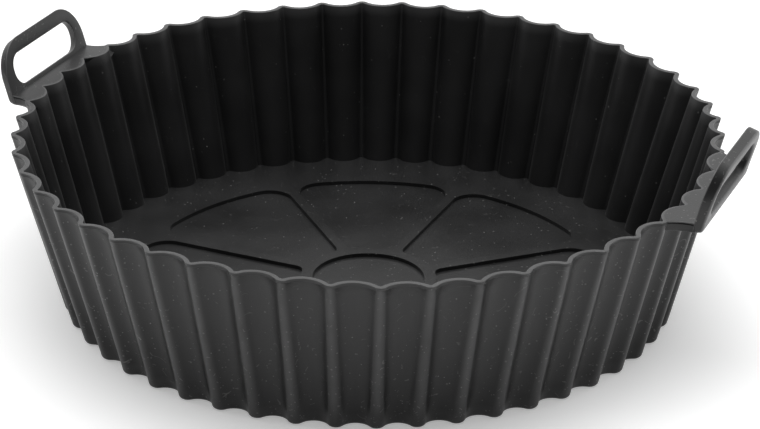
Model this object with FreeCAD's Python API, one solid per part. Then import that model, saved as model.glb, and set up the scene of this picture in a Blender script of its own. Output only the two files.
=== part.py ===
import FreeCAD, Part
import math
import os

from FreeCAD import Vector

# Round fluted silicone liner, moulded in one piece with a ring handle on each side.
# The bowl's axis is Z, its underside lies on Z = 0, and the handles are on +X and -X.
# Lengths are in millimetres and angles in degrees.

# Bowl
height = 48.5               # from the underside to the top of the rim
rim_radius = 100.0          # over the ridges, at the rim
base_radius = 86.3          # over the ridges, at the underside, before its corner is rounded
wall = 1.3                  # thickness, measured level
floor_thickness = 2.2       # at the ribs of the floor
base_round = 1.6            # corner between the wall and the underside
base_round_bands = 1        # flat bands that follow that corner

# Flutes of the wall
flute_count = 50            # a ridge stands at the middle of each handle
flute_depth = 2.9           # from the ridge tops in to the valleys
rim_notch_round = 0.6       # inside of a ridge, at the rim
base_notch_round = 1.1      # inside of a ridge, at the underside

# Pattern of the floor
recess_depth = 0.8          # the pads lie this much lower than the ribs between them
sector_count = 8
sector_margin = 18.8        # from the base's ridges in to the sectors
sector_gap = 3.0            # width of the ribs between the sectors
sector_outer_round = 7.0
sector_inner_round = 3.0
centre_radius = 16.0
centre_gap = 3.4            # width of the round rib between the centre and the sectors

# Flange between the rim and each ring
flange_flutes = 4           # flutes that it spans
flange_thickness = 1.2
flange_waist = 0.6          # how far each end is drawn in between the wall and the ring
lip_thickness = 0.45        # of the flange's ends, over the end ribs
lip_overhang = 0.6          # of the lip past the rib below it, beside the wall
end_rib_width = 3.0
end_setback = 0.15          # from the ring's sides in to the flange's ends, where they meet

# Ring of each handle
ring_gap = 1.5              # from the rim's ridges out to the ring, level with the rim
ring_lean = 16.5            # outwards from upright
ring_thickness = 2.5
ring_half_width = 22.5
ring_height = 14.7          # from the flange's top, along the lean
ring_round = 11.0
ring_draft = 1.2            # how much smaller the outward face is all round
foot_depth = 2.9            # from the flange's top to the underside of the feet and end ribs
foot_width = 9.0            # from the ring's side in to where the underside starts to arch
foot_round = 1.5            # where the feet and end ribs turn up into their sides

# Finger opening of each ring, on the side that faces the bowl
opening_half_width = 17.2
opening_sill = 1.1          # from the flange's top to the opening
opening_height = 9.0
opening_round = 4.2
opening_draft = 1.0         # how much larger the opening is on the outward face

ring_distance = rim_radius + ring_gap
wall_draft = math.atan((rim_radius - base_radius) / height)
half_flute = math.pi / flute_count


def polar(radius, angle, z=0.0):
    """Point at a radius and an angle in radians about the bowl's axis."""
    return Vector(radius * math.cos(angle), radius * math.sin(angle), z)


def between(low, high, z):
    """Value at a height, for one that goes evenly from the underside to the rim."""
    return low + (high - low) * z / height


def flute_wire(z, inset):
    """Closed wavy outline of the wall at a height, set in from its outer face.

    It is a row of arcs that touch: one round each ridge and one round each valley. The
    valley's radius is the one that makes the two circles touch.
    """
    ridge_top = between(base_radius, rim_radius, z)
    ridge_round = between(base_notch_round, rim_notch_round, z) + wall
    ridge_centre = ridge_top - ridge_round
    valley_bottom = ridge_top - flute_depth
    spread = (ridge_centre - valley_bottom) ** 2
    spread += 2 * ridge_centre * valley_bottom * (1 - math.cos(half_flute))
    reach = ridge_round - valley_bottom + ridge_centre * math.cos(half_flute)
    valley_round = (spread - ridge_round ** 2) / (2 * reach)
    valley_centre = valley_bottom + valley_round
    share = (ridge_round - inset) / (ridge_round + valley_round)

    arcs = []
    for flute in range(flute_count):
        middle = 2 * half_flute * flute
        ridge = polar(ridge_centre, middle, z)
        next_ridge = polar(ridge_centre, middle + 2 * half_flute, z)
        valley_before = polar(valley_centre, middle - half_flute, z)
        valley_after = polar(valley_centre, middle + half_flute, z)
        start = ridge + (valley_before - ridge) * share
        end = ridge + (valley_after - ridge) * share
        next_start = next_ridge + (valley_after - next_ridge) * share
        top = polar(ridge_top - inset, middle, z)
        bottom = polar(valley_bottom - inset, middle + half_flute, z)
        arcs.append(Part.Arc(start, top, end).toShape())
        arcs.append(Part.Arc(end, bottom, next_start).toShape())
    return Part.Wire(arcs)


def bowl_outside():
    """Solid inside the bowl's outer face, with the corner round its underside."""
    turn = math.pi / 2 - wall_draft
    flat_in = base_round * math.tan(turn / 2)
    sections = []
    for band in range(base_round_bands + 1):
        angle = turn * band / base_round_bands
        z = base_round * (1 - math.cos(angle))
        inset = flat_in + z * math.tan(wall_draft) - base_round * math.sin(angle)
        sections.append(flute_wire(z, inset))
    sections.append(flute_wire(height, 0.0))
    return Part.makeLoft(sections, True, True)


def bowl_inside():
    """Solid that hollows the bowl out, down to the ribs of the floor."""
    sections = [flute_wire(floor_thickness, wall), flute_wire(height + wall, wall)]
    return Part.makeLoft(sections, True, True)


def sector():
    """One pad of the floor's pattern, as a solid that is cut from the floor.

    Its sides are parallel to the ribs on either side of it.
    """
    inner = centre_radius + centre_gap
    outer = base_radius - sector_margin
    middle = math.pi / sector_count
    inner_from = math.asin(sector_gap / 2 / inner)
    outer_from = math.asin(sector_gap / 2 / outer)
    z = floor_thickness - recess_depth
    near_start = polar(inner, inner_from, z)
    far_start = polar(outer, outer_from, z)
    far_end = polar(outer, 2 * middle - outer_from, z)
    near_end = polar(inner, 2 * middle - inner_from, z)
    outline = Part.Wire([
        Part.makeLine(near_start, far_start),
        Part.Arc(far_start, polar(outer, middle, z), far_end).toShape(),
        Part.makeLine(far_end, near_end),
        Part.Arc(near_end, polar(inner, middle, z), near_start).toShape(),
    ])
    solid = Part.Face(outline).extrude(Vector(0, 0, 2 * recess_depth))
    solid = solid.makeFillet(sector_outer_round, upright_edges(solid, [far_start, far_end]))
    return solid.makeFillet(sector_inner_round, upright_edges(solid, [near_start, near_end]))


def upright_edges(solid, feet):
    """Edges of an upright prism that stand on the given points of its underside."""
    return [
        edge for edge in solid.Edges
        if edge.BoundBox.ZLength > recess_depth
        and any(edge.Vertexes[0].Point.isEqual(foot, 0.001)
                or edge.Vertexes[1].Point.isEqual(foot, 0.001) for foot in feet)
    ]


def floor_recesses():
    """Every pad of the floor: the round one in the centre and the sectors around it."""
    floor_level = Vector(0, 0, floor_thickness - recess_depth)
    recesses = [Part.makeCylinder(centre_radius, 2 * recess_depth, floor_level)]
    for place in range(sector_count):
        pad = sector()
        pad.rotate(Vector(0, 0, 0), Vector(0, 0, 1), place * 360 / sector_count)
        recesses.append(pad)
    return recesses


def end_outline(side, overhang, width):
    """Outline of one end of the flange or of its rib, seen from above.

    The end is a hollow curve from the wall's ridge to the ring's side. Inside the wall and
    inside the ring the outline runs on far enough to join them. The overhang draws the
    curve in, but not where it meets the ring, and the width is measured along Y.
    """
    at_wall = polar(rim_radius, flange_flutes * half_flute) - Vector(0, overhang, 0)
    at_ring = Vector(ring_distance, ring_half_width - end_setback, 0)
    middle = (at_wall + at_ring) / 2 - Vector(0, flange_waist + overhang / 2, 0)
    in_wall = at_wall - Vector(2 * flute_depth, 0, 0)
    in_ring = at_ring + Vector(ring_thickness / 2, -ring_draft - foot_round, 0)
    outer = [in_wall, at_wall, middle, at_ring, in_ring]
    return [[Vector(p.x, side * (p.y - w), 0) for p in outer] for w in (0.0, width)]


def plate(near, far, drop, thickness):
    """Level plate between two end curves, with its top a drop below the rim."""
    edges = []
    for curve, ahead in ((near, True), (far, False)):
        in_wall, at_wall, middle, at_ring, in_ring = curve
        run = [
            Part.makeLine(in_wall, at_wall),
            Part.Arc(at_wall, middle, at_ring).toShape(),
            Part.makeLine(at_ring, in_ring),
        ]
        edges += run if ahead else run[::-1]
    edges.insert(3, Part.makeLine(near[-1], far[-1]))
    edges.append(Part.makeLine(far[0], near[0]))
    solid = Part.Face(Part.Wire(edges)).extrude(Vector(0, 0, thickness))
    solid.translate(Vector(0, 0, height - drop - thickness))
    return solid


def flange():
    """Plate between the bowl and the ring, flush with the rim, with a thin lip at each end."""
    ends = [end_outline(side, 0.0, end_rib_width / 2) for side in (-1, 1)]
    lip = plate(ends[0][0], ends[1][0], 0.0, lip_thickness)
    return lip.fuse(plate(ends[0][1], ends[1][1], 0.0, flange_thickness))


def end_rib(side):
    """Rib under one end of the flange, as deep as the ring's foot and as round below."""
    outer, inner = end_outline(side, lip_overhang, end_rib_width)
    solid = plate(outer, inner, lip_thickness, foot_depth - lip_thickness)
    ends = [Vector(point.x, point.y, height - foot_depth) for point in (outer[1], outer[3])]
    lower_edge = [
        edge for edge in solid.Edges
        if all(any(v.Point.isEqual(end, 0.001) for v in edge.Vertexes) for end in ends)
    ]
    return solid.makeFillet(foot_round, lower_edge)


def rounded_outline(half_width, low, high, corner, out):
    """Rectangle with round corners, drawn on the ring: Y across, Z along it, X out of it."""
    near = half_width - corner
    diagonal = corner * math.sqrt(0.5)
    edges = []
    for side, end in ((1, 1), (-1, 1), (-1, -1), (1, -1)):
        centre = Vector(out, side * near, high - corner if end > 0 else low + corner)
        at_side = centre + Vector(0, side * corner, 0)
        at_end = centre + Vector(0, 0, end * corner)
        middle = centre + Vector(0, side * diagonal, end * diagonal)
        turn = (at_side, middle, at_end) if side * end > 0 else (at_end, middle, at_side)
        edges.append(Part.Arc(*turn).toShape())
    sides = []
    for place, edge in enumerate(edges):
        following = edges[(place + 1) % 4]
        sides.append(edge)
        sides.append(Part.makeLine(edge.lastVertex().Point, following.firstVertex().Point))
    return Part.Wire(sides)


def ring_blank():
    """Upright ring before it is leaned: both its outside and its opening are drafted."""
    low = -2 * foot_depth - ring_round
    body = Part.makeLoft([
        rounded_outline(ring_half_width, low, ring_height, ring_round, 0),
        rounded_outline(ring_half_width - ring_draft, low, ring_height - ring_draft,
                        ring_round - ring_draft, ring_thickness),
    ], True, True)
    low = opening_sill
    high = opening_sill + opening_height
    opening = Part.makeLoft([
        rounded_outline(opening_half_width, low, high, opening_round, 0),
        rounded_outline(opening_half_width + opening_draft, low - opening_draft,
                        high + opening_draft, opening_round + opening_draft / 2,
                        ring_thickness),
    ], True, True)
    return body.cut(opening)


def underside_tool():
    """Everything above the ring's underside: level feet and a low arch between them."""
    foot_z = height - foot_depth
    arch_z = height - flange_thickness
    side = ring_half_width
    foot = side - foot_width
    rise = arch_z - foot_z
    run = foot - 2 * rise
    top_z = height + 2 * ring_height
    corner = foot_round * (1 - math.sqrt(0.5))

    def at(y, z):
        return Vector(0, y, z)

    edges = [
        Part.makeLine(at(run, arch_z), at(-run, arch_z)),
        Part.makeLine(at(-run, arch_z), at(-foot, foot_z)),
        Part.makeLine(at(-foot, foot_z), at(foot_round - side, foot_z)),
        Part.Arc(at(foot_round - side, foot_z), at(corner - side, foot_z + corner),
                 at(-side, foot_z + foot_round)).toShape(),
        Part.makeLine(at(-side, foot_z + foot_round), at(-side, top_z)),
        Part.makeLine(at(-side, top_z), at(side, top_z)),
        Part.makeLine(at(side, top_z), at(side, foot_z + foot_round)),
        Part.Arc(at(side, foot_z + foot_round), at(side - corner, foot_z + corner),
                 at(side - foot_round, foot_z)).toShape(),
        Part.makeLine(at(side - foot_round, foot_z), at(foot, foot_z)),
        Part.makeLine(at(foot, foot_z), at(run, arch_z)),
    ]
    tool = Part.Face(Part.Wire(edges)).extrude(Vector(4 * ring_height, 0, 0))
    tool.translate(Vector(ring_distance - 2 * ring_height, 0, 0))
    return tool


def ring():
    """Ring in its place: leaning out from the flange, with its underside trimmed level."""
    leaning = ring_blank()
    leaning.rotate(Vector(0, 0, 0), Vector(0, 1, 0), ring_lean)
    leaning.translate(Vector(ring_distance, 0, height))
    return leaning.common(underside_tool())


def handle():
    """Flange, its two end ribs and the ring, on the +X side."""
    return flange().multiFuse([end_rib(1), end_rib(-1), ring()])


def liner():
    """The whole moulding."""
    opposite = handle()
    opposite.rotate(Vector(0, 0, 0), Vector(0, 0, 1), 180)
    solid = bowl_outside().multiFuse([handle(), opposite])
    solid = solid.cut(bowl_inside())
    for recess in floor_recesses():
        solid = solid.cut(recess)
    return solid.removeSplitter()


os.makedirs("parts", exist_ok=True)
liner().exportStep("parts/air_fryer_liner.step")
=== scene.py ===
"""A round fluted liner with a ring handle on each side, in black silicone.

The bowl, the pattern of its floor and the two handles are surfaces worked out from the sizes
below. They stand for the one moulded solid of the frame. The forms' sizes are in millimetres,
and every mesh is in metres.
"""

import logging
import math
from dataclasses import dataclass, field
from enum import Enum

import bpy
import numpy as np
from mathutils import Matrix, Vector

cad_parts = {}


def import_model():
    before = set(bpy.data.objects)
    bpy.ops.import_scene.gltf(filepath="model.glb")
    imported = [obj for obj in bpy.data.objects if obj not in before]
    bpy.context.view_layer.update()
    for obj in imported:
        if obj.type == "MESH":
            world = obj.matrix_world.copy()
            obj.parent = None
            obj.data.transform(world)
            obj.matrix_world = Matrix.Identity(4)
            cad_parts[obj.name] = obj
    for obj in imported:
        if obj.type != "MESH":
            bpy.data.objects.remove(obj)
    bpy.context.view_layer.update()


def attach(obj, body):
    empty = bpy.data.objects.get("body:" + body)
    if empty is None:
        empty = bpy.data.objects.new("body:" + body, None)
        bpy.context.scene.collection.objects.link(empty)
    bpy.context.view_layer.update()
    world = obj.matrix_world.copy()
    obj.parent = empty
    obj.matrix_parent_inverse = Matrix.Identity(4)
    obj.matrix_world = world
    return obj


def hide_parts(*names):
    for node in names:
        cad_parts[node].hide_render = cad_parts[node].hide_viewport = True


log = logging.getLogger("liner")

MM = 0.001
NODE = "air_fryer_liner"
BODY = "root"
CREASE = math.radians(40)
WELD_STEPS_PER_MM = 1e4
PHOTO_WIDTH = 760
SENSOR_MM = 36.0


class Handle(Enum):
    """The two handles, by the direction in which each stands from the bowl."""

    RIGHT = 1
    LEFT = -1


# Meshes


@dataclass
class Surface:
    """Grids of points in millimetres that together make one mesh.

    Each grid point also carries two values from 0 to 1 that the finish reads: how much it
    stands on an edge, where the finish paints it paler as wear and as a painted highlight,
    and how much dust settles on it.
    """

    points: list[np.ndarray] = field(default_factory=list)
    edges: list[np.ndarray] = field(default_factory=list)
    dusts: list[np.ndarray] = field(default_factory=list)
    quads: list[np.ndarray] = field(default_factory=list)

    def add(self, grid: np.ndarray, edge: float | np.ndarray = 0.0,
            dust: float | np.ndarray = 0.5, closed: bool = False, flip: bool = False) -> None:
        """Adds a grid of points as quads, and joins its last row to its first.

        Args:
            grid: points of shape (rows, columns, 3).
            edge: edge values that broadcast to the rows and columns.
            dust: dust values that broadcast to the rows and columns.
            closed: whether the last column joins the first too.
            flip: whether to turn the faces over.
        """
        start = sum(len(p) for p in self.points)
        index = np.arange(grid.shape[0] * grid.shape[1]).reshape(grid.shape[:2]) + start
        index = np.vstack([index, index[:1]])
        if closed:
            index = np.hstack([index, index[:, :1]])
        quads = np.stack(
            [index[:-1, :-1], index[1:, :-1], index[1:, 1:], index[:-1, 1:]], axis=-1
        ).reshape(-1, 4)
        self.points.append(grid.reshape(-1, 3))
        self.edges.append(np.broadcast_to(edge, grid.shape[:2]).reshape(-1))
        self.dusts.append(np.broadcast_to(dust, grid.shape[:2]).reshape(-1))
        self.quads.append(quads[:, ::-1] if flip else quads)

    def build(self, name: str) -> bpy.types.Object:
        """Welds the grids and makes the object.

        Points that fall on each other become one, so that poles and seams are closed. Quads
        that lose a corner become triangles, and those that lose two are left out.

        Args:
            name: the object's name.

        Returns:
            The new object, in metres, linked to the scene.
        """
        points = np.concatenate(self.points)
        values = {"edge": np.concatenate(self.edges), "dust": np.concatenate(self.dusts)}
        quads = np.concatenate(self.quads)
        keys = np.round(points * WELD_STEPS_PER_MM).astype(np.int64)
        _, first, joined = np.unique(keys, axis=0, return_index=True, return_inverse=True)
        points, quads = points[first], joined.reshape(-1)[quads]
        following = np.roll(quads, -1, axis=1)
        repeats = (quads == following).sum(axis=1)
        whole = quads[repeats == 0]
        lost = quads[repeats == 1]
        keep = lost != np.roll(lost, -1, axis=1)
        triangles = lost[keep].reshape(-1, 3)
        mesh = bpy.data.meshes.new(name)
        mesh.from_pydata((points * MM).tolist(), [], whole.tolist() + triangles.tolist())
        for attribute, value in values.items():
            mesh.attributes.new(attribute, "FLOAT", "POINT").data.foreach_set(
                "value", value[first].astype(np.float32)
            )
        mesh.shade_smooth()
        mesh.set_sharp_from_angle(angle=CREASE)
        mesh.update()
        made = bpy.data.objects.new(name, mesh)
        bpy.context.scene.collection.objects.link(made)
        return made


def smoothstep(value: np.ndarray) -> np.ndarray:
    """Smooth step from 0 to 1 as the value goes from 0 to 1: 3 v squared less 2 v cubed."""
    v = np.clip(value, 0.0, 1.0)
    return v * v * (3 - 2 * v)


def quarter(count: int) -> tuple[np.ndarray, np.ndarray]:
    """Sine, and 1 less cosine, at a count of points of a quarter turn, for rounding an edge."""
    angle = np.linspace(0, math.pi / 2, count)
    return np.sin(angle), 1 - np.cos(angle)


def ray_radius(outline: np.ndarray, centre: np.ndarray, angle: np.ndarray) -> np.ndarray:
    """Distance from a centre to a closed outline, along rays at given angles.

    The outline is seen whole from the centre, so the distance is read off its points' angles
    and distances round the centre.

    Args:
        outline: points of shape (n, 2), close together.
        centre: the point that the rays leave from.
        angle: the rays' angles in radians.

    Returns:
        One distance for each angle.
    """
    offset = outline - centre
    around = np.arctan2(offset[:, 1], offset[:, 0])
    order = np.argsort(around)
    away = np.hypot(offset[:, 0], offset[:, 1])
    return np.interp(angle, around[order], away[order], period=2 * math.pi)


def unit(angle: np.ndarray) -> np.ndarray:
    """Directions at angles: each angle's cosine and sine."""
    return np.stack([np.cos(angle), np.sin(angle)], 1)


def spun(x: np.ndarray, y: np.ndarray, angle: float | np.ndarray) -> tuple[np.ndarray, np.ndarray]:
    """Coordinates turned about the axis by an angle, which may differ from place to place."""
    return x * np.cos(angle) - y * np.sin(angle), x * np.sin(angle) + y * np.cos(angle)


def arc(centre: tuple[float, float], radius: float, start: float, end: float,
        count: int) -> np.ndarray:
    """Points of an arc: the centre plus the radius times directions at even angles."""
    return np.array(centre) + radius * unit(np.linspace(start, end, count))


def joined(parts: list[np.ndarray], count: int) -> np.ndarray:
    """Joins the parts of a closed outline by straight lines.

    Args:
        parts: runs of points of shape (n, 2), in their order round the outline.
        count: number of points on each line, both ends with them.

    Returns:
        The whole outline's points.
    """
    share = np.linspace(0, 1, count)[1:-1, None]
    points = []
    for part, following in zip(parts, parts[1:] + parts[:1]):
        points += [part, part[-1] + (following[0] - part[-1]) * share]
    return np.concatenate(points)


def closed_run(count: int) -> tuple[np.ndarray, np.ndarray]:
    """Steps along a run whose section closes to a line at both ends.

    Args:
        count: number of even steps from 0 to 1, of which the first and the last come twice.

    Returns:
        The steps, and the section's size at each: 0 at the two ends and 1 between them.
    """
    steps = np.concatenate([[0.0], np.linspace(0, 1, count), [1.0]])
    size = np.ones(len(steps))
    size[[0, -1]] = 0.0
    return steps, size


# Forms


@dataclass(frozen=True)
class Sway:
    """A stretch of rim where the soft wall stands off the round it was moulded to.

    Angles are in degrees anticlockwise from the right handle, seen from above.
    """

    at: float
    spread: float
    out: float = 0.0
    along: float = 0.0

    def share(self, angle: np.ndarray) -> np.ndarray:
        """Share felt at each angle: (1 - u squared) squared, where u is the angle away over the
        spread, up to 1."""
        away = (angle - self.at + 180) % 360 - 180
        return np.clip(1 - (away / self.spread) ** 2, 0, 1) ** 2


SLUMP = (
    Sway(at=-60, spread=27, out=2.0),
    Sway(at=0, spread=42, out=-2.0),
    Sway(at=18, spread=20, along=2.0),
    Sway(at=46, spread=18, along=-1.7),
    Sway(at=132, spread=22, out=-0.8),
    Sway(at=152, spread=22, along=0.9),
    Sway(at=180, spread=35, out=-0.8),
    Sway(at=-152, spread=26, out=-0.3, along=-2.2),
)


@dataclass
class Bowl:
    """The fluted bowl: wall, rim, underside and the rib level round the floor's pattern."""

    height: float = 48.5
    rim_radius: float = 100.0
    base_radius: float = 86.3
    wall: float = 1.3
    floor: float = 2.2
    flutes: int = 50
    flute_depth: float = 2.9
    rim_notch: float = 0.6
    base_notch: float = 1.1
    base_round: float = 1.6
    rim_round: float = 0.2
    seam_drop: float = 0.9
    seam_height: float = 0.06
    seam_half: float = 0.1
    pattern_edge: float = 75.0
    samples: int = 24
    corner_rows: int = 8
    lip_rows: int = 7
    wall_rows: int = 15
    blend_rows: int = 5
    centre_rows: int = 3
    # Edge values of the base corner, rim lip, seam and ridges: they paint these places paler, as
    # wear and as a painted highlight.
    corner_wear_and_highlight: float = 0.4
    lip_wear_and_highlight: float = 1.2
    seam_wear_and_highlight: float = 0.5
    ridge_wear_and_highlight: float = 0.5
    dust_fade: float = 0.7
    valley_dust: float = 0.7
    ridge_dust: float = 0.6
    inner_dust: float = 0.08
    floor_dust: float = 0.2
    slump: tuple[Sway, ...] = SLUMP

    def draft(self) -> float:
        """Angle between the wall and upright, in radians."""
        return math.atan((self.rim_radius - self.base_radius) / self.height)

    def outline(self, z: np.ndarray, inset: np.ndarray,
                flutes: tuple[float, float] | None = None) -> np.ndarray:
        """The wavy outline of the wall at each height, set in from its outer face.

        It is a row of touching arcs, one round each ridge and one round each valley. Half of
        a flute's samples go evenly round its ridge, and half round the valley that follows.
        The valley's radius is the one that makes the circles touch.

        Args:
            z: heights in millimetres, of shape (rows,).
            inset: distances in from the outer face, of shape (rows,).
            flutes: first and last flute as whole or half numbers, or None for all of them.

        Returns:
            Points of shape (samples round the bowl, rows, 3).
        """
        z, inset = np.broadcast_arrays(np.asarray(z, float), np.asarray(inset, float))
        half = math.pi / self.flutes
        share_up = z / self.height
        tip = self.base_radius + (self.rim_radius - self.base_radius) * share_up
        ridge_round = self.base_notch + (self.rim_notch - self.base_notch) * share_up + self.wall
        ridge = tip - ridge_round
        bottom = tip - self.flute_depth
        spread = (ridge - bottom) ** 2 + 2 * ridge * bottom * (1 - math.cos(half))
        reach = ridge_round - bottom + ridge * math.cos(half)
        valley_round = (spread - ridge_round ** 2) / (2 * reach)
        valley = bottom + valley_round
        swing = np.arctan2(valley * math.sin(half), valley * math.cos(half) - ridge)
        if flutes is None:
            place = np.arange(self.flutes * self.samples) / self.samples
        else:
            count = int(round((flutes[1] - flutes[0]) * self.samples)) + 1
            place = np.linspace(flutes[0], flutes[1], count)
        place = place[:, None] + 0.25
        flute = np.floor(place)
        along = place - flute
        on_ridge = along < 0.5
        ridge_turn = swing * (4 * along - 1)
        valley_turn = (swing - half) * (4 * along - 3)
        local_x = np.where(
            on_ridge,
            ridge + (ridge_round - inset) * np.cos(ridge_turn),
            valley - (valley_round + inset) * np.cos(valley_turn),
        )
        local_y = np.where(
            on_ridge,
            (ridge_round - inset) * np.sin(ridge_turn),
            (valley_round + inset) * np.sin(valley_turn),
        )
        middle = 2 * half * (flute + np.where(on_ridge, 0.0, 0.5))
        x, y = spun(local_x, local_y, middle)
        return np.stack([x, y, np.broadcast_to(z, x.shape)], axis=-1)

    def settled(self, points: np.ndarray) -> np.ndarray:
        """Points of the moulded wall moved to where the soft wall stands.

        Each is moved outwards and along the rim by what the sways add up to at its angle,
        times its height over the floor as a share of the rim's.

        Args:
            points: points of shape (..., 3).

        Returns:
            The moved points.
        """
        x, y, z = points[..., 0], points[..., 1], points[..., 2]
        around = np.arctan2(y, x)
        angle = np.degrees(around)
        share = np.clip((z - self.floor) / (self.height - self.floor), 0, 1)
        out = sum(sway.out * sway.share(angle) for sway in self.slump) * share
        along = sum(sway.along * sway.share(angle) for sway in self.slump) * share
        return points + np.stack([*spun(out, along, around), 0 * z], axis=-1)

    def profile(self) -> tuple[np.ndarray, np.ndarray, np.ndarray]:
        """Height, inset and edge value of each row, from the underside round the rim to the floor.

        The corners at the base and the rim are quarter rounds, and a fine seam of the mould
        runs a little under the rim.

        Returns:
            Three arrays of one length.
        """
        turn = math.pi / 2 - self.draft()
        angle = np.linspace(0, turn, self.corner_rows)
        base_z = self.base_round * (1 - np.cos(angle))
        base_in = (self.base_round * math.tan(turn / 2) + base_z * math.tan(self.draft())
                   - self.base_round * np.sin(angle))
        top = self.height - self.rim_round
        seam = self.height - self.seam_drop
        seam_z = seam + self.seam_half * np.array([-1, 0, 1])
        below = np.linspace(base_z[-1], seam_z[0], self.wall_rows)[1:-1]
        outer_z = np.concatenate([below, seam_z, [top]])
        on_seam = np.where(outer_z == seam, 1.0, 0.0)
        sine, less = quarter(self.lip_rows)
        lip_z = np.concatenate([top + self.rim_round * sine, top + self.rim_round * sine[::-1]])
        lip_in = np.concatenate([self.rim_round * less,
                                 self.wall - self.rim_round * less[::-1]])
        inner_z = np.linspace(top, self.floor, self.wall_rows + 1)[1:]
        z = np.concatenate([base_z, outer_z, lip_z[1:], inner_z])
        inset = np.concatenate([base_in, -self.seam_height * on_seam, lip_in[1:],
                                0 * inner_z + self.wall])
        # Edge values: the base corner, the rim's lip and the seam are painted paler, partly as wear
        # and partly as a painted highlight on their rounds.
        worn_and_highlit = self.corner_wear_and_highlight + self.lip_wear_and_highlight * sine * (1 - less)
        edge = np.concatenate([0 * base_z + self.corner_wear_and_highlight, self.seam_wear_and_highlight * on_seam,
                               worn_and_highlit[1:], worn_and_highlit[::-1], 0 * inner_z])
        return z, inset, edge

    def build(self) -> bpy.types.Object:
        """Makes the bowl without its floor's pattern.

        Each row of the profile is one wavy outline. Under the base and on the floor,
        further rows blend it into a circle: (1 - w) times the outline plus w times the circle.

        Returns:
            The bowl's object.
        """
        z, inset, edge = self.profile()
        wall = self.settled(self.outline(z, inset))
        count = wall.shape[0]
        angle = 2 * math.pi * np.arange(count) / count
        circle = self.pattern_edge * unit(angle)
        steps = np.linspace(0, 1, self.blend_rows + 1)[1:, None]

        def blended(row: np.ndarray) -> np.ndarray:
            """Rows that blend a wavy row into the circle at its height."""
            ends = np.concatenate([circle, row[:, 2:]], axis=1)
            return row[:, None] * (1 - steps) + ends[:, None] * steps

        floor_rows = blended(wall[:, -1])
        under_rows = blended(wall[:, 0])[:, ::-1]
        inner = np.linspace(0, 1, self.centre_rows + 1)[:-1]
        middle_rows = under_rows[:, :1] * np.array([1, 1, 0]) * inner[None, :, None]
        grid = np.concatenate([middle_rows, under_rows, wall, floor_rows], axis=1)
        under = np.zeros(self.centre_rows + self.blend_rows)
        floor = np.zeros(self.blend_rows)
        outer = (inset < self.wall / 2) & (z < self.height - self.rim_round)
        ridge = 0.5 + 0.5 * np.cos(angle * self.flutes)[:, None]
        # The outer wall's ridge crests get edge values too: a painted highlight along each ridge,
        # with some wear.
        worn_and_highlit = np.concatenate([under, edge, floor])
        crest = np.concatenate([under, self.ridge_wear_and_highlight * outer, floor])
        dust = np.concatenate([
            under,
            np.where(outer, 1 - self.dust_fade * z / self.height, self.inner_dust),
            floor + self.floor_dust,
        ])
        surface = Surface()
        surface.add(grid, edge=np.maximum(worn_and_highlit, ridge ** 6 * crest),
                    dust=dust * (self.valley_dust + self.ridge_dust * ridge ** 4))
        return surface.build("bowl")


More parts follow.
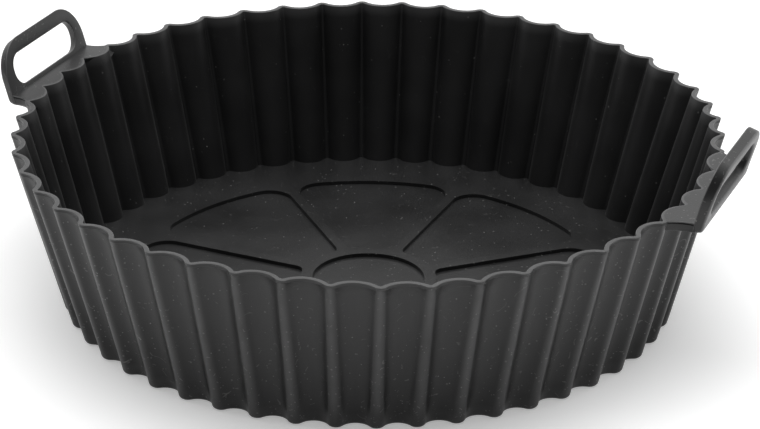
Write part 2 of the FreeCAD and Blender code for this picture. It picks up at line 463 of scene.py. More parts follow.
@dataclass
class FloorPattern:
    """The floor inside the wall: eight low pads in a ring, a round one, and ribs between."""

    bowl: Bowl
    depth: float = 1.05
    sectors: int = 8
    outer: float = 67.5
    inner: float = 19.4
    gap: float = 3.0
    outer_round: float = 7.0
    inner_round: float = 3.0
    centre: float = 16.0
    riser: float = 0.08
    middle_flat: float = 15.0
    pad_reach: float = 0.96
    pad_rows: int = 5
    rib_rows: int = 3
    rib_points: int = 60
    middle_points: int = 30

    def outline(self, out: float) -> np.ndarray:
        """Closed outline of the first sector, moved outwards by a distance.

        Its sides run beside the ribs at half their width, its ends are arcs about the bowl's
        axis, and its corners are arcs whose centres don't move with the distance.

        Args:
            out: distance outwards; below 0 it moves inwards.

        Returns:
            Points of shape (n, 2).
        """
        half = math.pi / self.sectors
        side = self.gap / 2
        far = self.outer - self.outer_round
        near = self.inner + self.inner_round
        far_at = math.asin((side + self.outer_round) / far)
        near_at = math.asin((side + self.inner_round) / near)
        far_centre = (far * math.cos(far_at), far * math.sin(far_at))
        near_centre = (near * math.cos(near_at), near * math.sin(near_at))
        corner = arc(far_centre, self.outer_round + out, -math.pi / 2, far_at, count=40)
        end = arc((0, 0), self.outer + out, far_at, half, count=60)[1:]
        steps = np.linspace(0, 1, num=80)[1:-1, None]
        inner_corner = arc(near_centre, self.inner_round + out, near_at - math.pi, -math.pi / 2,
                           count=30)
        inner_end = arc((0, 0), self.inner - out, half, near_at, count=30)[:-1]
        straight = inner_corner[-1] + (corner[0] - inner_corner[-1]) * steps
        lower = np.concatenate([inner_end, inner_corner, straight, corner, end])
        turned = math.cos(2 * half), math.sin(2 * half)
        mirror = np.array([[turned[0], turned[1]], [turned[1], -turned[0]]])
        upper = (lower @ mirror.T)[::-1]
        return np.concatenate([lower, upper[1:-1]])

    def step(self) -> tuple[np.ndarray, np.ndarray]:
        """Distance outwards and height of the rows of a pad's riser, which is nearly upright."""
        share = np.linspace(0, 1, num=3)
        return self.riser * (share - 0.5), self.bowl.floor - self.depth * (1 - share)

    def build(self) -> bpy.types.Object:
        """Makes the pattern up to the circle where the bowl's floor rows end.

        Each sector's rows go from a point in its middle out to its edge along rays, down to
        up over its riser, and on to the lines half way to the next pads. The rays end at
        evenly spaced points of those lines, which neighbours share.

        Returns:
            The pattern's object.
        """
        surface = Surface()
        half = math.pi / self.sectors
        rim = self.bowl.pattern_edge
        rib = (self.inner + self.centre) / 2
        per_sector = self.bowl.flutes * self.bowl.samples // self.sectors
        side = np.linspace(0, 1, self.rib_points + 1)[:-1]
        loop = np.concatenate([
            arc((0, 0), rim, 0, 2 * half, per_sector + 1)[:-1],
            np.outer(rim + (rib - rim) * side, [math.cos(2 * half), math.sin(2 * half)]),
            arc((0, 0), rib, 2 * half, 0, self.middle_points + 1)[:-1],
            np.outer(rib + (rim - rib) * side, [1, 0]),
        ])
        middle = 0.5 * (self.outer + self.inner) * np.array([math.cos(half), math.sin(half)])
        ray = loop - middle
        angle = np.arctan2(ray[:, 1], ray[:, 0])
        out, z = self.step()
        radii = np.stack([ray_radius(self.outline(o), middle, angle) for o in out], 1)
        inside = radii[:, :1] * np.linspace(0, self.pad_reach, self.pad_rows)
        whole = np.hypot(ray[:, 0], ray[:, 1])[:, None]
        share = np.linspace(0, 1, self.rib_rows + 1)[1:]
        beyond = radii[:, -1:] + (whole - radii[:, -1:]) * share
        reach = np.concatenate([inside, radii, beyond], axis=1)
        pad = np.full(self.pad_rows, self.bowl.floor - self.depth)
        levels = np.concatenate([pad, z, np.full(self.rib_rows, self.bowl.floor)])
        flat = middle + unit(angle)[:, None] * reach[..., None]
        flat[:, -1] = loop
        for place in range(self.sectors):
            x, y = spun(flat[..., 0], flat[..., 1], 2 * half * place)
            grid = np.stack([x, y, np.broadcast_to(levels, x.shape)], axis=-1)
            surface.add(grid, dust=self.bowl.floor_dust, flip=True)

        count = self.middle_points * self.sectors
        around = 2 * math.pi * np.arange(count) / count
        inside = np.linspace(0, self.middle_flat, self.pad_rows)
        radius = np.concatenate([inside, self.centre + out, [rib]])
        heights = np.concatenate([pad, z, [self.bowl.floor]])
        x, y = spun(radius, 0 * radius, around[:, None])
        disc = np.stack([x, y, np.broadcast_to(heights, x.shape)], axis=-1)
        surface.add(disc, dust=self.bowl.floor_dust, flip=True)
        return surface.build("floor_pattern")


@dataclass
class RingHandle:
    """One handle: the flange beside the rim, the bead under each of its ends, and the ring."""

    bowl: Bowl
    side: Handle
    lean: float = math.radians(16.5)
    yaw: float = 0.0
    distance: float = 101.5
    half_width: float = 22.5
    height: float = 14.5
    flutes: float = 4.0
    thickness: float = 1.2
    lip: float = 0.45
    lip_rise: float = 0.01
    overhang: float = 0.2
    waist: float = 0.6
    groove: float = 0.05
    bead_width: float = 3.0
    bead_round: float = 0.35
    setback: float = 0.15
    joint_depth: float = 0.25
    ring_thickness: float = 2.5
    swell: float = 0.22
    corner: float = 11.0
    corner_loss: float = 3.5
    top_draft: float = 1.2
    end_drafts: tuple[float, float] = (1.2, 0.7)
    foot_depth: float = 3.2
    foot_round: float = 1.3
    opening_half: float = 17.2
    opening_sill: float = 1.1
    opening_height: float = 9.0
    opening_corner: float = 4.2
    opening_draft: float = 0.85
    opening_drop: float = 0.2
    near_soft: float = 0.3
    far_soft: float = 0.55
    ring_points: int = 360
    edge_rows: int = 6

    def underside(self, across: np.ndarray) -> np.ndarray:
        """Height of the ring's underside from the rim: level, with a quarter round at each side."""
        past = np.clip(np.abs(across) - (self.half_width - self.foot_round), 0, self.foot_round)
        return self.foot_round - self.foot_depth - np.sqrt(self.foot_round ** 2 - past ** 2)

    def ring_outline(self, inset: float, depth: float) -> np.ndarray:
        """Outside of the ring at a depth through it, set in by a distance.

        It is two straight sides with round top corners, and the underside below. All of it
        but the underside is drafted, so it shrinks with the depth, by less at one end, where
        the top corner gets tighter too.

        Args:
            inset: distance inwards.
            depth: distance from the face towards the bowl.

        Returns:
            Points across and along the ring, of shape (n, 2).
        """
        share = depth / self.ring_thickness
        left_half, right_half = (self.half_width - inset - d * share for d in self.end_drafts)
        top = self.height - inset - self.top_draft * share
        left_corner = self.corner - inset
        right_corner = left_corner - self.corner_loss * share
        place = np.sin(np.linspace(-math.pi / 2, math.pi / 2, num=161))
        across = np.where(place < 0, left_half, right_half) * place
        level = self.underside(place * self.half_width) + inset
        bottom = np.stack([
            across,
            (level + depth * math.sin(self.lean)) / math.cos(self.lean),
        ], 1)
        right = arc((right_half - right_corner, top - right_corner), right_corner,
                    0, math.pi / 2, count=60)
        left = arc((left_corner - left_half, top - left_corner), left_corner,
                   math.pi / 2, math.pi, count=60)
        return joined([bottom, right, left], count=40)

    def opening_outline(self, inset: float, depth: float) -> np.ndarray:
        """Outline of the finger opening at a depth, made larger by a distance.

        It is a rectangle with round corners, drafted so that it grows with the depth at its
        ends and its sill and drops a little at its top.

        Args:
            inset: distance into the ring's material.
            depth: distance from the face towards the bowl.

        Returns:
            Points across and along the ring, of shape (n, 2).
        """
        share = depth / self.ring_thickness
        grown = inset + self.opening_draft * share
        half = self.opening_half + grown
        low = self.opening_sill - grown
        high = self.opening_sill + self.opening_height + inset - self.opening_drop * share
        corner = self.opening_corner + inset + self.opening_draft / 2 * share
        right, left, floor, roof = half - corner, corner - half, low + corner, high - corner
        centres = ((right, floor), (right, roof), (left, roof), (left, floor))
        corners = [
            arc(centre, corner, (place - 1) * math.pi / 2, place * math.pi / 2, count=30)
            for place, centre in enumerate(centres)
        ]
        return joined(corners, count=60)

    def placed(self, across: np.ndarray, along: np.ndarray, depth: float) -> np.ndarray:
        """Ring coordinates turned to the frame: the ring leans out from the flange's edge.

        The depth grows with the height on the ring by up to the swell, so the outward face
        leans a little more than the bowl's.

        Args:
            across: distances from the handle's middle.
            along: distances up the ring from the rim's level.
            depth: distance from the face towards the bowl.

        Returns:
            Points of shape (n, 3).
        """
        depth = depth * (1 + self.swell * np.clip(along / self.height, 0, 1))
        out = along * math.sin(self.lean) + depth * math.cos(self.lean)
        x, y = spun(out, across, self.yaw)
        z = self.bowl.height + along * math.cos(self.lean) - depth * math.sin(self.lean)
        return self.turned(np.stack(np.broadcast_arrays(self.distance + x, y, z), axis=-1))

    def turned(self, points: np.ndarray) -> np.ndarray:
        """Points turned by half a turn about the bowl's axis for the left handle."""
        return points * np.array([self.side.value, self.side.value, 1])

    def ring(self, surface: Surface) -> None:
        """Adds the ring: its section is carried round the opening.

        Rays from the opening's middle meet both outlines. The section's rows run round the
        outside, over the outward face, back through the opening and over the bowl's face. Each
        of its four edges is a quarter round, where the edge value is 2 sine cosine: it paints a
        pale highlight along the middle of each round, together with some wear.

        Args:
            surface: the surface that takes the grid.
        """
        centre = np.array([0.0, self.opening_sill + self.opening_height / 2])
        guide = self.ring_outline(0.0, self.ring_thickness / 2)
        length = np.concatenate([[0], np.cumsum(np.hypot(*np.diff(guide, axis=0).T))])
        place = np.linspace(0, length[-1], self.ring_points, endpoint=False)
        at = np.stack([np.interp(place, length, guide[:, k]) for k in (0, 1)], 1) - centre
        angle = np.arctan2(at[:, 1], at[:, 0])
        sine, less = quarter(self.edge_rows)
        near, far, deep = self.near_soft, self.far_soft, self.ring_thickness
        rows = (
            [(self.ring_outline, near * (1 - s), near * c) for s, c in zip(sine, less)]
            + [(self.ring_outline, far * c, deep - far * (1 - s)) for s, c in zip(sine, less)]
            + [(self.opening_outline, far * (1 - s), deep - far * c) for s, c in zip(sine, less)]
            + [(self.opening_outline, near * c, near * (1 - s)) for s, c in zip(sine, less)]
        )
        columns = []
        for outline, inset, depth in rows:
            radius = ray_radius(outline(inset, depth), centre, angle)
            across = centre[0] + radius * np.cos(angle)
            along = centre[1] + radius * np.sin(angle)
            columns.append(self.placed(across, along, depth))
        edge = np.tile(2 * sine * (1 - less), 4)
        surface.add(np.stack(columns, axis=1), edge=edge, closed=True)

    def face(self, across: float | np.ndarray) -> float | np.ndarray:
        """Distance out to the ring's face, at places across as shares of its half width."""
        return self.distance - across * self.half_width * math.sin(self.yaw)

    def rim_line(self) -> np.ndarray:
        """Middle line of the rim beside the handle, in the right handle's own frame.

        Returns:
            Points of shape (n, 3), from -Y to +Y.
        """
        span = self.flutes / 2
        middle = self.bowl.outline(self.bowl.height, self.bowl.wall / 2, (-span, span))[:, 0]
        return self.turned(self.bowl.settled(self.turned(middle)))

    def end(self, x: np.ndarray, hand: int) -> np.ndarray:
        """Half width of the flange at a distance out: a line less a shallow hollow.

        It goes from the rim's ridge to the ring's side, and stays level beyond them.

        Args:
            x: distances out from the bowl's axis.
            hand: 1 or -1 for the end on +Y or -Y of the right handle.

        Returns:
            Half widths.
        """
        corner = self.rim_line()[-1 if hand > 0 else 0]
        at_ring = self.half_width - self.setback
        share = np.clip((x - corner[0]) / (self.face(hand) - corner[0]), 0, 1)
        at_wall = hand * corner[1]
        return at_wall + (at_ring - at_wall) * share - self.waist * np.sin(math.pi * share)

    def plate(self, surface: Surface, inset: float, top: float, low: float) -> None:
        """Adds a level plate between the rim and the ring, with round ends.

        Its section across the handle is a flat loop. It is carried from the wavy middle line
        of the rim out to a straight line just inside the ring, and it closes to a line at both.

        Args:
            surface: the surface that takes the grid.
            inset: how far its ends lie in from the flange's ends.
            top: height of its top above the rim.
            low: height of its underside.
        """
        half = (top - low) / 2
        start = self.rim_line()
        steps, thin = closed_run(count=14)
        across = np.linspace(-1, 1, len(start))[:, None]
        far = self.face(across) + self.joint_depth
        x = start[:, :1] + (far - start[:, :1]) * steps
        width = np.where(across < 0, self.end(x, -1), self.end(x, 1)) - half - inset
        limit = np.where(across < 0, -start[0, 1], start[-1, 1])
        y = start[:, 1:2] / limit * width
        upper = np.stack([x, y, np.broadcast_to(half * thin, x.shape)], axis=-1)
        lower = (upper * np.array([1, 1, -1]))[::-1]
        turn = np.linspace(math.pi / 2, -math.pi / 2, num=9)[1:-1, None]
        bulge, rise = half * np.cos(turn) * thin, half * np.sin(turn) * thin
        after = np.stack([x[-1] + 0 * rise, y[-1] + bulge, rise], axis=-1)
        before = np.stack([x[0] + 0 * rise, y[0] - bulge, -rise], axis=-1)
        grid = np.concatenate([upper, after, lower, before])
        grid[..., 2] += self.bowl.height + (top + low) / 2
        # The round ends get edge value 1: a pale line painted along them, as wear and as a painted
        # highlight.
        edge = np.repeat([0.0, 1.0, 0.0, 1.0], [len(upper), len(turn), len(lower), len(turn)])
        surface.add(self.turned(grid), edge=edge[:, None], flip=True)

    def bead(self, surface: Surface, hand: int) -> None:
        """Adds the bead under one end of the flange, from the wall to the ring's foot.

        Its outer side is upright between a small round under the lip's groove and a large
        one that runs on from the foot's, and its top and back are flat and lie inside the
        other forms. Beside the wall it lies under the lip, and it comes out to the ring's side.

        Args:
            surface: the surface that takes the grid.
            hand: 1 or -1 for the end on +Y or -Y of the right handle.
        """
        low = -self.foot_depth
        high = -self.lip - self.groove
        middle = (high + low) / 2
        upper, lower = self.bead_round, self.foot_round
        side = np.concatenate([
            arc((-upper, high - upper), upper, math.pi / 2, 0, count=6),
            arc((-lower, low + lower), lower, 0, -math.pi / 2, count=9),
        ])
        neck, back, top = -2 * upper, -self.bead_width, -self.lip / 2
        section = np.concatenate([[[neck, top], [neck, high]], side, [[back, low], [back, top]]])
        start = self.rim_line()
        steps, thin = closed_run(count=12)
        corner = start[-1 if hand > 0 else 0]
        near = np.interp(hand * corner[1] - self.overhang + section[:, 0],
                         hand * start[::hand, 1], start[::hand, 0])
        near = (near + section[:, 1] * math.tan(self.bowl.draft()))[:, None]
        x = near + (self.face(hand) + self.joint_depth - near) * steps
        share = (x - corner[0]) / (self.face(hand) - corner[0])
        drawn = self.overhang * (1 - smoothstep(share))
        y = hand * (self.end(x, hand) - drawn + section[:, :1] * thin)
        z = self.bowl.height + middle + (section[:, 1:] - middle) * thin
        grid = np.stack(np.broadcast_arrays(x, y, z), axis=-1)
        surface.add(self.turned(grid), flip=hand > 0)

    def build(self) -> bpy.types.Object:
        """Makes the handle, with its lip a hair over the rim.

        Returns:
            The handle's object.
        """
        surface = Surface()
        self.ring(surface)
        self.plate(surface, inset=0.0, top=self.lip_rise, low=-self.lip)
        self.plate(surface, inset=self.bead_width / 2, top=-self.lip / 2, low=-self.thickness)
        self.bead(surface, 1)
        self.bead(surface, -1)
        return surface.build(f"handle_{self.side.name.lower()}")


# Finishes

Source = bpy.types.NodeSocket | float | tuple[float, float, float, float]


class NodeBench:
    """A node tree with short ways to add nodes and join them."""

    def __init__(self, tree: bpy.types.NodeTree) -> None:
        """Keeps the tree."""
        self.tree = tree

    def add(self, kind: str, **settings: object) -> bpy.types.Node:
        """Adds a node.

        Args:
            kind: the node's type name.
            settings: properties of the node.

        Returns:
            The new node.
        """
        node = self.tree.nodes.new(kind)
        for name, value in settings.items():
            setattr(node, name, value)
        return node

    def place(self, group: bpy.types.NodeTree, **values: float) -> bpy.types.NodeOutputs:
        """Places a node group.

        Args:
            group: the group.
            values: values for its inputs.

        Returns:
            Its outputs.
        """
        node = self.add("ShaderNodeGroup", node_tree=group)
        for name, value in values.items():
            node.inputs[name].default_value = value
        return node.outputs

    def feed(self, source: Source, target: bpy.types.NodeSocket) -> None:
        """Links a socket to an input, or sets the input to a number or a colour.

        Args:
            source: the socket, number or colour.
            target: the input.
        """
        if isinstance(source, bpy.types.NodeSocket):
            self.tree.links.new(source, target)
        else:
            target.default_value = source

    def math(self, operation: str, *sources: Source) -> bpy.types.NodeSocket:
        """A Math node.

        Args:
            operation: the node's operation.
            sources: its inputs, each a socket or a number.

        Returns:
            Its output.
        """
        node = self.add("ShaderNodeMath", operation=operation)
        for source, target in zip(sources, node.inputs):
            self.feed(source, target)
        return node.outputs[0]

    def ramp(self, value: Source, start: Source, end: Source, low: float = 0.0,
             high: float = 1.0, form: str = "SMOOTHSTEP") -> bpy.types.NodeSocket:
        """A clamped step of a value from one limit to the other.

        Args:
            value: the value.
            start: the limit where the result is low.
            end: the limit where the result is high.
            low: the low result.
            high: the high result.
            form: SMOOTHSTEP or LINEAR.

        Returns:
            The result.
        """
        node = self.add("ShaderNodeMapRange", interpolation_type=form)
        names = ("Value", "From Min", "From Max", "To Min", "To Max")
        for name, source in zip(names, (value, start, end, low, high)):
            self.feed(source, node.inputs[name])
        return node.outputs["Result"]

    def mix(self, share: Source, under: Source, over: Source) -> bpy.types.NodeSocket:
        """A colour that goes from one colour to another as the share goes from 0 to 1.

        Args:
            share: the share.
            under: the first colour.
            over: the second colour.

        Returns:
            The colour.
        """
        node = self.add("ShaderNodeMix", data_type="RGBA")
        for name, source in (("Factor", share), ("A", under), ("B", over)):
            self.feed(source, node.inputs[name])
        return node.outputs["Result"]

    def here(self) -> bpy.types.NodeSocket:
        """The place on the piece, in Object coordinates."""
        return self.add("ShaderNodeTexCoord").outputs["Object"]

    def own(self, attribute: str) -> bpy.types.NodeSocket:
        """The mesh's own values of an attribute."""
        return self.add("ShaderNodeAttribute", attribute_name=attribute).outputs["Fac"]

    def noise(self, scale: Source, detail: float) -> bpy.types.NodeSocket:
        """A noise.

        Args:
            scale: its scale.
            detail: how many finer noises it adds.

        Returns:
            The noise, from 0 to 1 about a half.
        """
        node = self.add("ShaderNodeTexNoise")
        for name, source in (("Vector", self.here()), ("Scale", scale), ("Detail", detail)):
            self.feed(source, node.inputs[name])
        return node.outputs["Fac"]


@dataclass
class Effect:
    """A shader node group with named float sockets, and a bench to fill it at."""

    name: str
    inputs: dict[str, float]
    outputs: tuple[str, ...]

    def __post_init__(self) -> None:
        """Makes the empty group."""
        self.group = bpy.data.node_groups.new(self.name, "ShaderNodeTree")
        sockets = self.group.interface
        for name, value in self.inputs.items():
            made = sockets.new_socket(name, in_out="INPUT", socket_type="NodeSocketFloat")
            made.default_value = value
        for name in self.outputs:
            sockets.new_socket(name, in_out="OUTPUT", socket_type="NodeSocketFloat")
        self.bench = NodeBench(self.group)
        self.given = self.bench.add("NodeGroupInput").outputs
        self.made = self.bench.add("NodeGroupOutput").inputs


def moulded_grain() -> bpy.types.NodeTree:
    """The faint grain of a moulded surface: fine pits over slow, soft unevenness."""
    effect = Effect("moulded_grain", {"Fine Scale": 2600.0, "Slow Scale": 45.0},
                    ("Height", "Shade"))
    bench = effect.bench
    bench.feed(bench.noise(effect.given["Fine Scale"], detail=2.0), effect.made["Height"])
    bench.feed(bench.noise(effect.given["Slow Scale"], detail=3.0), effect.made["Shade"])
    return effect.group


def settled_dust() -> bpy.types.NodeTree:
    """Tiny pale specks: round spots in some of the cells of a Voronoi pattern.

    A spot's radius is the size times a random share of its own. The mesh's dust values times
    the group's share say how many of the cells have one.

    Returns:
        The group.
    """
    effect = Effect("settled_dust", {"Scale": 900.0, "Size": 0.25, "Share": 0.5}, ("Mask",))
    bench, given = effect.bench, effect.given
    cells = bench.add("ShaderNodeTexVoronoi")
    bench.feed(bench.here(), cells.inputs["Vector"])
    bench.feed(given["Scale"], cells.inputs["Scale"])
    chance = bench.add("ShaderNodeSeparateColor")
    bench.feed(cells.outputs["Color"], chance.inputs["Color"])
    radius = bench.math("MULTIPLY", given["Size"], chance.outputs["Green"])
    solid = bench.math("MULTIPLY", radius, 0.5)
    spot = bench.ramp(cells.outputs["Distance"], radius, solid)
    amount = bench.math("MULTIPLY", bench.own("dust"), given["Share"])
    chosen = bench.math("LESS_THAN", chance.outputs["Red"], amount)
    bench.feed(bench.math("MULTIPLY", spot, chosen), effect.made["Mask"])
    return effect.group


def lint() -> bpy.types.NodeTree:
    """Short pale fibres: thin contour lines of a noise, broken up by a second, finer noise.

    They fade with the mesh's dust values.

    Returns:
        The group.
    """
    effect = Effect("lint", {"Scale": 240.0, "Width": 0.02, "Share": 0.66,
                             "Break Scale": 552.0, "Break Fade": 0.03}, ("Mask",))
    bench, given = effect.bench, effect.given
    curl = bench.noise(given["Scale"], detail=0.0)
    broken = bench.noise(given["Break Scale"], detail=0.0)
    away = bench.math("ABSOLUTE", bench.math("SUBTRACT", curl, 0.5))
    line = bench.ramp(away, given["Width"], 0.0)
    full = bench.math("ADD", given["Share"], given["Break Fade"])
    pieces = bench.math("MULTIPLY", line, bench.ramp(broken, given["Share"], full))
    bench.feed(bench.math("MULTIPLY", pieces, bench.own("dust")), effect.made["Mask"])
    return effect.group


def rubbed_and_highlit_edges() -> bpy.types.NodeTree:
    """Edges painted paler, as handling wear and as a painted highlight: the mesh's edge values,
    broken up by a noise.
    """
    effect = Effect("rubbed_and_highlit_edges", {"Scale": 90.0, "Bare": -0.1, "Full": 0.7}, ("Mask",))
    bench, given = effect.bench, effect.given
    worn_and_highlit = bench.ramp(bench.noise(given["Scale"], detail=2.0), given["Bare"], given["Full"])
    bench.feed(bench.math("MULTIPLY", bench.own("edge"), worn_and_highlit), effect.made["Mask"])
    return effect.group


@dataclass(frozen=True)
class Effects:
    """The shared effects, built once."""

    grain: bpy.types.NodeTree
    dust: bpy.types.NodeTree
    lint: bpy.types.NodeTree
    edges: bpy.types.NodeTree

    @staticmethod
    def made() -> "Effects":
        """Builds the four node groups."""
        return Effects(moulded_grain(), settled_dust(), lint(), rubbed_and_highlit_edges())


@dataclass(frozen=True)
class SiliconeFinish:
    """Matt black silicone with grain, dust, powder, lint, and edges painted paler as wear and as a
    painted highlight.
    """

    name: str
    colour: tuple[float, float, float] = (0.013, 0.013, 0.0133)
    dark_tint: float = 0.8
    pale_tint: float = 1.25
    dust_colour: tuple[float, float, float, float] = (0.35, 0.35, 0.34, 1)
    wear_and_highlight_colour: tuple[float, float, float, float] = (0.115, 0.115, 0.116, 1)
    roughness: float = 0.36
    roughness_swing: float = 0.05
    shade_low: float = 0.3
    shade_high: float = 0.7
    specular: float = 0.5
    sheen: float = 0.08
    sheen_roughness: float = 0.3
    grain_depth: float = 0.00006
    grain_strength: float = 0.6
    dust_share: float = 0.7
    dust_size: float = 0.25
    powder_scale: float = 1100.0
    powder_share: float = 0.3
    powder_size: float = 0.45
    powder_strength: float = 0.5
    lint_share: float = 0.64
    speck_strength: float = 0.45

    def material(self, effects: Effects) -> bpy.types.Material:
        """Makes the material.

        Args:
            effects: the shared node groups.

        Returns:
            The material.
        """
        made = bpy.data.materials.new(self.name)
        made.use_nodes = True
        made.node_tree.nodes.clear()
        bench = NodeBench(made.node_tree)
        shader = bench.add("ShaderNodeBsdfPrincipled")
        output = bench.add("ShaderNodeOutputMaterial")
        bench.feed(shader.outputs["BSDF"], output.inputs["Surface"])
        grain = bench.place(effects.grain)
        dust = bench.place(effects.dust, Share=self.dust_share, Size=self.dust_size)["Mask"]
        powder = bench.place(effects.dust, Scale=self.powder_scale, Share=self.powder_share,
                             Size=self.powder_size)["Mask"]
        fibres = bench.place(effects.lint, Share=self.lint_share)["Mask"]
        # Mask of the edges that are painted paler: partly wear, partly a painted highlight on their
        # rounds.
        worn_and_highlit = bench.place(effects.edges)["Mask"]

        dark, pale = (
            (*(tint * level for level in self.colour), 1)
            for tint in (self.dark_tint, self.pale_tint)
        )
        shade = bench.ramp(grain["Shade"], self.shade_low, self.shade_high)
        # The edge colour goes over the edge mask: paler wear together with a painted highlight.
        colour = bench.mix(worn_and_highlit, bench.mix(shade, dark, pale), self.wear_and_highlight_colour)
        powder = bench.math("MULTIPLY", powder, self.powder_strength)
        specks = bench.math("MAXIMUM", bench.math("MAXIMUM", dust, fibres), powder)
        seen = bench.math("MULTIPLY", specks, self.speck_strength)
        bench.feed(bench.mix(seen, colour, self.dust_colour), shader.inputs["Base Color"])

        rough = bench.ramp(grain["Shade"], self.shade_low, self.shade_high,
                           self.roughness - self.roughness_swing,
                           self.roughness + self.roughness_swing, form="LINEAR")
        bench.feed(rough, shader.inputs["Roughness"])
        shader.inputs["Specular IOR Level"].default_value = self.specular
        shader.inputs["Sheen Weight"].default_value = self.sheen
        shader.inputs["Sheen Roughness"].default_value = self.sheen_roughness

        bump = bench.add("ShaderNodeBump")
        bump.inputs["Strength"].default_value = self.grain_strength
        bump.inputs["Distance"].default_value = self.grain_depth
        bench.feed(bench.math("ADD", grain["Height"], specks), bump.inputs["Height"])
        bench.feed(bump.outputs["Normal"], shader.inputs["Normal"])
        return made


# Camera, floor and light


@dataclass(frozen=True)
class PhotoCamera:
    """The camera, at the photograph's place and angle."""

    focal_px: float = 3048.86
    azimuth: float = -66.54
    elevation: float = 23.042
    distance_mm: float = 850.0
    yaw: float = -0.205
    pitch: float = -1.625
    roll: float = -0.676
    near_clip: float = 0.01

    def build(self, rim_height: float) -> bpy.types.Object:
        """Makes the scene's camera.

        It looks from its place to the rim's centre, and is then turned by the three small
        angles about its own axes.

        Args:
            rim_height: height of the rim in millimetres.

        Returns:
            The camera's object.
        """
        azimuth, elevation = math.radians(self.azimuth), math.radians(self.elevation)
        away = Vector((
            math.cos(elevation) * math.cos(azimuth),
            math.cos(elevation) * math.sin(azimuth),
            math.sin(elevation),
        ))
        forward = -away
        right = forward.cross(Vector((0, 0, 1))).normalized()
        up = right.cross(forward)
        for axis, degrees in (("up", self.yaw), ("right", self.pitch), ("forward", self.roll)):
            about = {"up": up, "right": right, "forward": forward}[axis]
            turn = Matrix.Rotation(math.radians(degrees), 3, about)
            forward, right, up = turn @ forward, turn @ right, turn @ up
        data = bpy.data.cameras.new("photo_camera")
        data.sensor_width = SENSOR_MM
        data.lens = self.focal_px / PHOTO_WIDTH * SENSOR_MM
        data.clip_start = self.near_clip
        camera = bpy.data.objects.new("photo_camera", data)
        bpy.context.scene.collection.objects.link(camera)
        rotation = Matrix((right, up, -forward)).transposed().to_4x4()
        place = away * self.distance_mm * MM + Vector((0, 0, rim_height * MM))
        camera.matrix_world = Matrix.Translation(place) @ rotation
        bpy.context.scene.camera = camera
        return camera


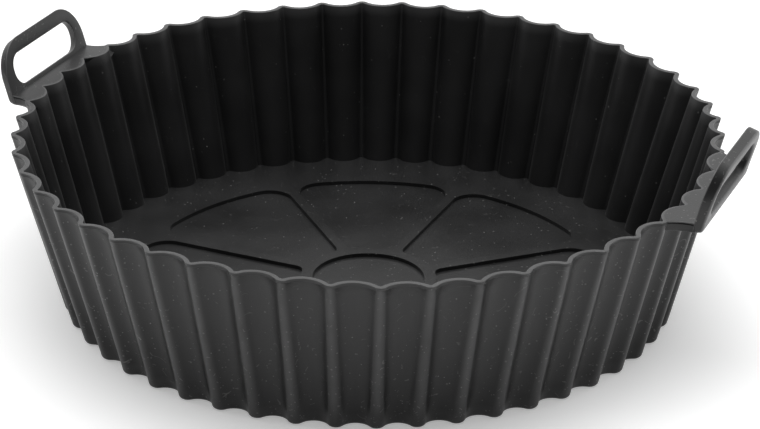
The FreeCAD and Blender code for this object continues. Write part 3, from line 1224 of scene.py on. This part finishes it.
@dataclass(frozen=True)
class Studio:
    """Plain white studio: a white floor and surround, and a soft lamp above. It is in metres."""

    floor_size: float = 6.0
    floor_drop: float = 0.00005
    floor_white: tuple[float, float, float, float] = (0.85, 0.85, 0.85, 1)
    floor_glow: float = 0.35
    glossy_share: float = 0.5
    backdrop_azimuth: float = 113.5
    backdrop_start: float = -0.35
    backdrop_end: float = 0.45
    dim_side: float = 0.1
    top_power: float = 13.0
    top_size: float = 1.2
    top_height: float = 1.3

    def floor(self) -> None:
        """Makes the floor.

        Its glow makes it white for the camera, and adds a part of that to reflections.
        """
        half = self.floor_size / 2
        corners = [(x * half, y * half, -self.floor_drop)
                   for x, y in ((-1, -1), (1, -1), (1, 1), (-1, 1))]
        mesh = bpy.data.meshes.new("studio_floor")
        mesh.from_pydata(corners, [], [(0, 1, 2, 3)])
        floor = bpy.data.objects.new("studio_floor", mesh)
        bpy.context.scene.collection.objects.link(floor)
        paint = bpy.data.materials.new("studio_white")
        paint.use_nodes = True
        paint.node_tree.nodes.clear()
        bench = NodeBench(paint.node_tree)
        diffuse = bench.add("ShaderNodeBsdfDiffuse")
        diffuse.inputs["Color"].default_value = self.floor_white
        path = bench.add("ShaderNodeLightPath").outputs
        glossy = bench.math("MULTIPLY", path["Is Glossy Ray"], self.glossy_share)
        seen = bench.math("MAXIMUM", path["Is Camera Ray"], glossy)
        glow = bench.add("ShaderNodeEmission")
        bench.feed(bench.math("MULTIPLY", seen, self.floor_glow), glow.inputs["Strength"])
        both = bench.add("ShaderNodeAddShader")
        bench.feed(diffuse.outputs[0], both.inputs[0])
        bench.feed(glow.outputs[0], both.inputs[1])
        output = bench.add("ShaderNodeOutputMaterial")
        bench.feed(both.outputs[0], output.inputs["Surface"])
        mesh.materials.append(paint)

    def world(self) -> None:
        """Makes the surround: a white backdrop behind, and the dim studio in front of it.

        Its strength is a smooth step of how far a direction points at the backdrop. The
        camera sees white all round.
        """
        world = bpy.data.worlds.new("studio")
        bpy.context.scene.world = world
        world.use_nodes = True
        world.node_tree.nodes.clear()
        bench = NodeBench(world.node_tree)
        facing = bench.add("ShaderNodeVectorMath", operation="DOT_PRODUCT")
        bench.feed(bench.add("ShaderNodeTexCoord").outputs["Generated"], facing.inputs[0])
        azimuth = math.radians(self.backdrop_azimuth)
        facing.inputs[1].default_value = (math.cos(azimuth), math.sin(azimuth), 0)
        white = bench.ramp(facing.outputs["Value"], self.backdrop_start, self.backdrop_end)
        path = bench.add("ShaderNodeLightPath").outputs
        seen = bench.math("MAXIMUM", path["Is Camera Ray"], path["Is Transmission Ray"])
        strength = bench.ramp(bench.math("MAXIMUM", seen, white), 0.0, 1.0, self.dim_side,
                              form="LINEAR")
        background = bench.add("ShaderNodeBackground")
        background.inputs["Color"].default_value = (1, 1, 1, 1)
        bench.feed(strength, background.inputs["Strength"])
        output = bench.add("ShaderNodeOutputWorld")
        bench.feed(background.outputs[0], output.inputs["Surface"])

    def lamp(self) -> None:
        """Makes the soft lamp above."""
        data = bpy.data.lights.new("top_light", "AREA")
        data.shape = "SQUARE"
        data.size = self.top_size
        data.energy = self.top_power
        lamp = bpy.data.objects.new("top_light", data)
        lamp.location = (0, 0, self.top_height)
        bpy.context.scene.collection.objects.link(lamp)


def dress(piece: bpy.types.Object, finish: bpy.types.Material) -> None:
    """Gives a piece its finish and its place in the frame.

    Args:
        piece: the piece's object.
        finish: its material.
    """
    piece.data.materials.append(finish)
    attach(piece, BODY)
    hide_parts(NODE)
    log.info("%s: %d faces", piece.name, len(piece.data.polygons))


def main() -> None:
    """Builds the liner and its studio in order."""
    logging.basicConfig(level=logging.INFO, format="%(name)s %(message)s")
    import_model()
    bpy.context.scene.view_settings.view_transform = "Standard"

    effects = Effects.made()
    wall_finish, floor_finish, handle_finish = (
        SiliconeFinish(f"silicone_{part}").material(effects) for part in ("wall", "floor", "handle")
    )

    bowl = Bowl()
    dress(bowl.build(), wall_finish)
    dress(FloorPattern(bowl).build(), floor_finish)
    right = RingHandle(bowl, Handle.RIGHT, lean=math.radians(13.4), yaw=math.radians(1.5),
                       half_width=22.4)
    left = RingHandle(bowl, Handle.LEFT, lean=math.radians(17.2), distance=101.4,
                      half_width=22.0, swell=0.0, end_drafts=(1.2, 0.8), corner_loss=2.0)
    for handle in (right, left):
        dress(handle.build(), handle_finish)

    studio = Studio()
    studio.floor()
    studio.world()
    studio.lamp()
    PhotoCamera().build(bowl.height)


if __name__ == "__main__":
    main()
